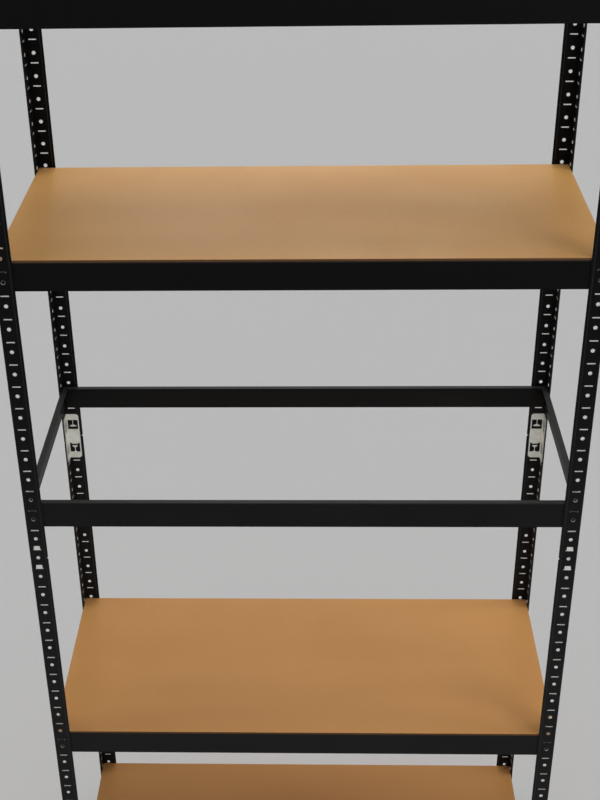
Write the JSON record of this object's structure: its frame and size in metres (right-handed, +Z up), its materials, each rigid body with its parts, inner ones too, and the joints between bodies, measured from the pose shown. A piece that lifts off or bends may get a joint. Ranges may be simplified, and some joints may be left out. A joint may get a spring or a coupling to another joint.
{
  "type": "boltless shelving unit",
  "caption": "Tall free-standing boltless shelving: perforated black angle posts, hook-in beams, loose brown boards, and one open ring of beams at mid height.",
  "frame": {"origin": "on the floor, under the centre of the shelving", "axes": "+Z up, +X to the right seen from the front, +Y to the rear"},
  "size_m": [0.9054, 0.4054, 1.8318],
  "materials": {
    "black_powder_coat": "satin black powder coat with a very fine orange-peel texture",
    "zinc_plate": "bright zinc plate, slightly warm, satin",
    "foot_plastic": "matt moulded black plastic",
    "hardboard": "smooth honey-brown board, fine fibres, darker sawn edges"
  },
  "bodies": {
    "frame": {"post_front_left_lower": "black_powder_coat", "post_front_left_upper": "black_powder_coat", "post_front_right_lower": "black_powder_coat", "post_front_right_upper": "black_powder_coat", "post_rear_left_lower": "black_powder_coat", "post_rear_left_upper": "black_powder_coat", "post_rear_right_lower": "black_powder_coat", "post_rear_right_upper": "black_powder_coat", "connector_front_left": "zinc_plate", "connector_front_right": "zinc_plate", "connector_rear_left": "zinc_plate", "connector_rear_right": "zinc_plate", "foot_front_left": "foot_plastic", "foot_front_right": "foot_plastic", "foot_rear_left": "foot_plastic", "foot_rear_right": "foot_plastic", "beam_level_1_front": "black_powder_coat", "beam_level_1_right": "black_powder_coat", "beam_level_1_rear": "black_powder_coat", "beam_level_1_left": "black_powder_coat", "beam_level_2_front": "black_powder_coat", "beam_level_2_right": "black_powder_coat", "beam_level_2_rear": "black_powder_coat", "beam_level_2_left": "black_powder_coat", "beam_level_3_front": "black_powder_coat", "beam_level_3_right": "black_powder_coat", "beam_level_3_rear": "black_powder_coat", "beam_level_3_left": "black_powder_coat", "beam_level_4_front": "black_powder_coat", "beam_level_4_right": "black_powder_coat", "beam_level_4_rear": "black_powder_coat", "beam_level_4_left": "black_powder_coat", "beam_level_5_front": "black_powder_coat", "beam_level_5_right": "black_powder_coat", "beam_level_5_rear": "black_powder_coat", "beam_level_5_left": "black_powder_coat"},
    "board_1": {"board_level_1": "hardboard"},
    "board_2": {"board_level_2": "hardboard"},
    "board_4": {"board_level_4": "hardboard"},
    "board_5": {"board_level_5": "hardboard"}
  },
  "joints": [
    {"name": "board_1_lift", "type": "slide", "parent": "frame", "child": "board_1", "axis": [0, 0, 1], "range_m": [0, 0.12]},
    {"name": "board_2_lift", "type": "slide", "parent": "frame", "child": "board_2", "axis": [0, 0, 1], "range_m": [0, 0.12]},
    {"name": "board_4_lift", "type": "slide", "parent": "frame", "child": "board_4", "axis": [0, 0, 1], "range_m": [0, 0.12]},
    {"name": "board_5_lift", "type": "slide", "parent": "frame", "child": "board_5", "axis": [0, 0, 1], "range_m": [0, 0.12]}
  ]
}
